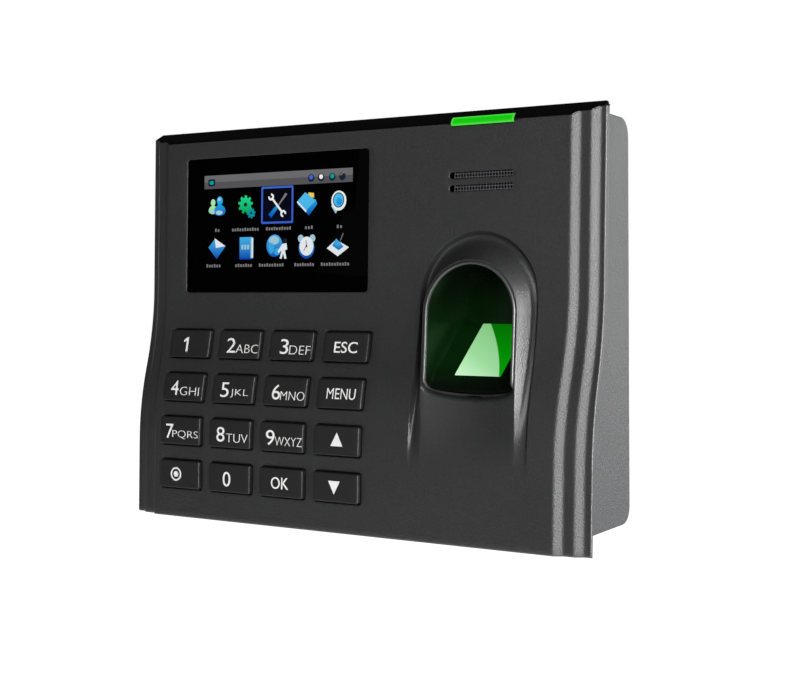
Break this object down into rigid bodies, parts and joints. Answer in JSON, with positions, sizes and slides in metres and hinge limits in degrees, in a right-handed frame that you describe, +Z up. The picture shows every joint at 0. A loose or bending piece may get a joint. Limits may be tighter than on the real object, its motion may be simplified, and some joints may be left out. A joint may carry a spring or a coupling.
{
  "type": "fingerprint scanner terminal",
  "caption": "Wall-mounted fingerprint terminal with a curved front cover, colour display, keypad, hooded finger recess with a sloping glass platen, and a status light bar.",
  "frame": {"origin": "centre of the four wall screw holes, on the back face of the wall plate", "axes": "+Z up, +X to the right as seen from the front, -Y out of the wall towards the person using it"},
  "size_m": [0.184, 0.0403, 0.1404],
  "materials": {
    "cover_plastic": "fine spark-textured charcoal",
    "case_plastic": "fine spark-textured charcoal",
    "gloss_black": "high gloss black",
    "window_black": "clear acrylic, printed black on its back",
    "green_light": "translucent green",
    "mesh_metal": "black woven wire",
    "liner_black": "satin to gloss black",
    "sensor_glass": "optical glass, lit green from inside",
    "lens_glass": "lens in a black barrel",
    "dark_plastic": "matte black",
    "circuit_board": "solder mask",
    "ribbon": "flat flexible cable",
    "panel_metal": "pressed metal display frame",
    "bracket_steel": "plain sheet steel",
    "plate_steel": "zinc-plated sheet steel",
    "screw_steel": "plated steel",
    "silicone": "moulded silicone",
    "connector_plastic": "ivory nylon",
    "chip_black": "moulded epoxy",
    "battery_metal": "bright can",
    "wire_red": "insulated wire",
    "led_white": "clear epoxy",
    "connector_metal": "tinned shell",
    "terminal_green": "screw terminal block",
    "plunger_white": "acetal",
    "insert_brass": "knurled insert",
    "key_plastic": "satin black caps"
  },
  "bodies": {
    "wall_plate": {"wall_plate": "plate_steel", "lock_screw": "screw_steel"},
    "terminal": {"front_cover": "cover_plastic", "rear_case": "case_plastic", "top_trim": "gloss_black", "status_light_bar": "green_light", "display_window": "window_black", "speaker_mesh": "mesh_metal", "sensor_bezel": "liner_black", "sensor_prism": "sensor_glass", "sensor_housing": "dark_plastic", "sensor_lens": "lens_glass", "sensor_camera_board": "circuit_board", "sensor_leds": "green_light", "sensor_led_board": "circuit_board", "sensor_cable": "ribbon", "lcd_panel": "panel_metal", "lcd_bracket": "bracket_steel", "lcd_screws": "screw_steel", "lcd_ribbon": "ribbon", "keypad_mat": "silicone", "keypad_board": "circuit_board", "keypad_screws": "screw_steel", "board_connector": "connector_plastic", "main_board": "circuit_board", "main_board_screws": "screw_steel", "processor_chips": "chip_black", "backup_battery": "battery_metal", "buzzer": "dark_plastic", "speaker": "dark_plastic", "speaker_wires": "wire_red", "status_led_board": "circuit_board", "status_leds": "led_white", "network_jack": "connector_metal", "power_jack": "dark_plastic", "wiring_block": "terminal_green", "usb_port": "connector_metal", "case_screws": "screw_steel", "tamper_switch": "dark_plastic", "lock_insert": "insert_brass"},
    "tamper_plunger": {"tamper_plunger": "plunger_white"},
    "key_1": {"key_1": "key_plastic"},
    "key_2": {"key_2": "key_plastic"},
    "key_3": {"key_3": "key_plastic"},
    "key_esc": {"key_esc": "key_plastic"},
    "key_4": {"key_4": "key_plastic"},
    "key_5": {"key_5": "key_plastic"},
    "key_6": {"key_6": "key_plastic"},
    "key_menu": {"key_menu": "key_plastic"},
    "key_7": {"key_7": "key_plastic"},
    "key_8": {"key_8": "key_plastic"},
    "key_9": {"key_9": "key_plastic"},
    "key_up": {"key_up": "key_plastic"},
    "key_power": {"key_power": "key_plastic"},
    "key_0": {"key_0": "key_plastic"},
    "key_ok": {"key_ok": "key_plastic"},
    "key_down": {"key_down": "key_plastic"}
  },
  "joints": [
    {"name": "terminal_lift", "type": "slide", "parent": "wall_plate", "child": "terminal", "axis": [0, 0, 1], "range_m": [0, 0.007]},
    {"name": "tamper_press", "type": "slide", "parent": "terminal", "child": "tamper_plunger", "axis": [0, -1, 0], "range_m": [0, 0.0006], "stiffness_N_per_m": 300},
    {"name": "press_1", "type": "slide", "parent": "terminal", "child": "key_1", "axis": [0, 1, 0], "range_m": [0, 0.001], "stiffness_N_per_m": 800, "deforming": ["keypad_mat"]},
    {"name": "press_2", "type": "slide", "parent": "terminal", "child": "key_2", "axis": [0, 1, 0], "range_m": [0, 0.001], "stiffness_N_per_m": 800, "deforming": ["keypad_mat"]},
    {"name": "press_3", "type": "slide", "parent": "terminal", "child": "key_3", "axis": [0, 1, 0], "range_m": [0, 0.001], "stiffness_N_per_m": 800, "deforming": ["keypad_mat"]},
    {"name": "press_esc", "type": "slide", "parent": "terminal", "child": "key_esc", "axis": [0, 1, 0], "range_m": [0, 0.001], "stiffness_N_per_m": 800, "deforming": ["keypad_mat"]},
    {"name": "press_4", "type": "slide", "parent": "terminal", "child": "key_4", "axis": [0, 1, 0], "range_m": [0, 0.001], "stiffness_N_per_m": 800, "deforming": ["keypad_mat"]},
    {"name": "press_5", "type": "slide", "parent": "terminal", "child": "key_5", "axis": [0, 1, 0], "range_m": [0, 0.001], "stiffness_N_per_m": 800, "deforming": ["keypad_mat"]},
    {"name": "press_6", "type": "slide", "parent": "terminal", "child": "key_6", "axis": [0, 1, 0], "range_m": [0, 0.001], "stiffness_N_per_m": 800, "deforming": ["keypad_mat"]},
    {"name": "press_menu", "type": "slide", "parent": "terminal", "child": "key_menu", "axis": [0, 1, 0], "range_m": [0, 0.001], "stiffness_N_per_m": 800, "deforming": ["keypad_mat"]},
    {"name": "press_7", "type": "slide", "parent": "terminal", "child": "key_7", "axis": [0, 1, 0], "range_m": [0, 0.001], "stiffness_N_per_m": 800, "deforming": ["keypad_mat"]},
    {"name": "press_8", "type": "slide", "parent": "terminal", "child": "key_8", "axis": [0, 1, 0], "range_m": [0, 0.001], "stiffness_N_per_m": 800, "deforming": ["keypad_mat"]},
    {"name": "press_9", "type": "slide", "parent": "terminal", "child": "key_9", "axis": [0, 1, 0], "range_m": [0, 0.001], "stiffness_N_per_m": 800, "deforming": ["keypad_mat"]},
    {"name": "press_up", "type": "slide", "parent": "terminal", "child": "key_up", "axis": [0, 1, 0], "range_m": [0, 0.001], "stiffness_N_per_m": 800, "deforming": ["keypad_mat"]},
    {"name": "press_power", "type": "slide", "parent": "terminal", "child": "key_power", "axis": [0, 1, 0], "range_m": [0, 0.001], "stiffness_N_per_m": 800, "deforming": ["keypad_mat"]},
    {"name": "press_0", "type": "slide", "parent": "terminal", "child": "key_0", "axis": [0, 1, 0], "range_m": [0, 0.001], "stiffness_N_per_m": 800, "deforming": ["keypad_mat"]},
    {"name": "press_ok", "type": "slide", "parent": "terminal", "child": "key_ok", "axis": [0, 1, 0], "range_m": [0, 0.001], "stiffness_N_per_m": 800, "deforming": ["keypad_mat"]},
    {"name": "press_down", "type": "slide", "parent": "terminal", "child": "key_down", "axis": [0, 1, 0], "range_m": [0, 0.001], "stiffness_N_per_m": 800, "deforming": ["keypad_mat"]}
  ]
}
